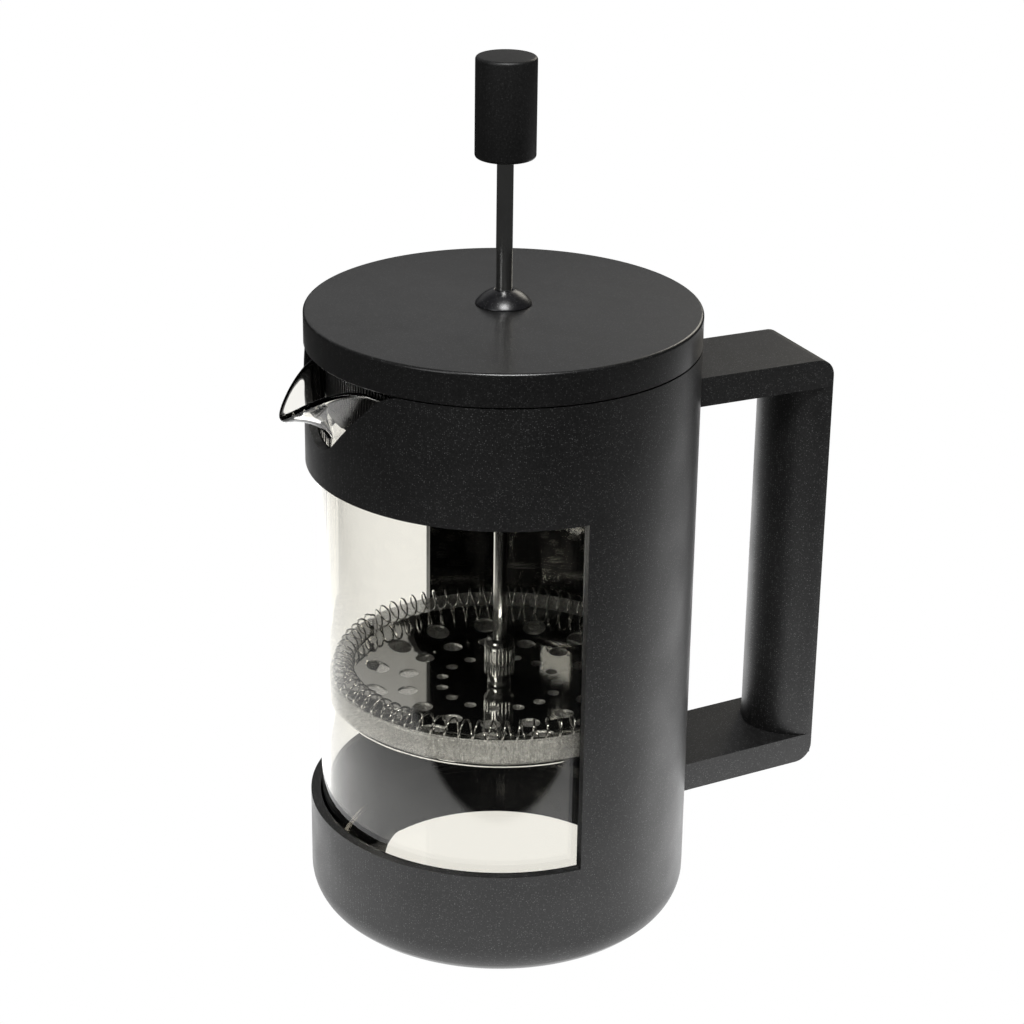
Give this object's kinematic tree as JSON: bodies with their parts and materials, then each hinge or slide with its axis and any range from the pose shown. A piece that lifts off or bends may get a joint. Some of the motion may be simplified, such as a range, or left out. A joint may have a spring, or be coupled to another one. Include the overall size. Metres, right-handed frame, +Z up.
{
  "type": "french press",
  "caption": "Coffee press: glass beaker with a pouring spout in a moulded cage with a handle, under a lid whose plunger carries a spring-edged mesh filter.",
  "frame": {"origin": "centre of the base's foot ring, on the beaker's axis", "axes": "+Z up along the beaker's axis, +X towards the handle, -X towards the spout"},
  "size_m": [0.1585, 0.106, 0.2426],
  "materials": {
    "cage_plastic": "near-black moulded plastic with a fine sparkle grain",
    "lid_plastic": "near-black moulded plastic, satin",
    "bush_plastic": "glossy near-black plastic",
    "knob_plastic": "satin near-black plastic",
    "insert_brass": "turned",
    "beaker_glass": "clear, blown",
    "rod_chrome": "bright plated",
    "polished_plate": "mirror polished steel",
    "spring_steel": "bright drawn wire",
    "woven_mesh": "fine woven wire"
  },
  "bodies": {
    "cage": {"cage": "cage_plastic", "handle_cover": "cage_plastic"},
    "beaker": {"beaker": "beaker_glass"},
    "bush": {"shaft_bush": "bush_plastic"},
    "lid": {"lid_cover": "lid_plastic", "lid_strainer": "lid_plastic"},
    "plunger": {"knob": "knob_plastic", "knob_insert": "insert_brass", "plunger_rod": "rod_chrome", "rod_ferrule": "rod_chrome", "perforated_plate": "polished_plate", "coil_spring": "spring_steel", "filter_mesh": "woven_mesh", "cross_plate": "polished_plate", "hub_nut": "rod_chrome"}
  },
  "joints": [
    {"name": "beaker_lift", "type": "slide", "parent": "cage", "child": "beaker", "axis": [0, 0, 1], "range_m": [0, 0.17]},
    {"name": "lid_lift", "type": "slide", "parent": "beaker", "child": "bush", "axis": [0, 0, 1], "range_m": [0, 0.14]},
    {"name": "lid_turn", "type": "hinge", "parent": "bush", "child": "lid", "pos_m": [0, 0, 0.175], "axis": [0, 0, 1], "continuous": true},
    {"name": "plunger_slide", "type": "slide", "parent": "bush", "child": "plunger", "axis": [0, 0, 1], "range_m": [-0.035, 0.0735]}
  ]
}
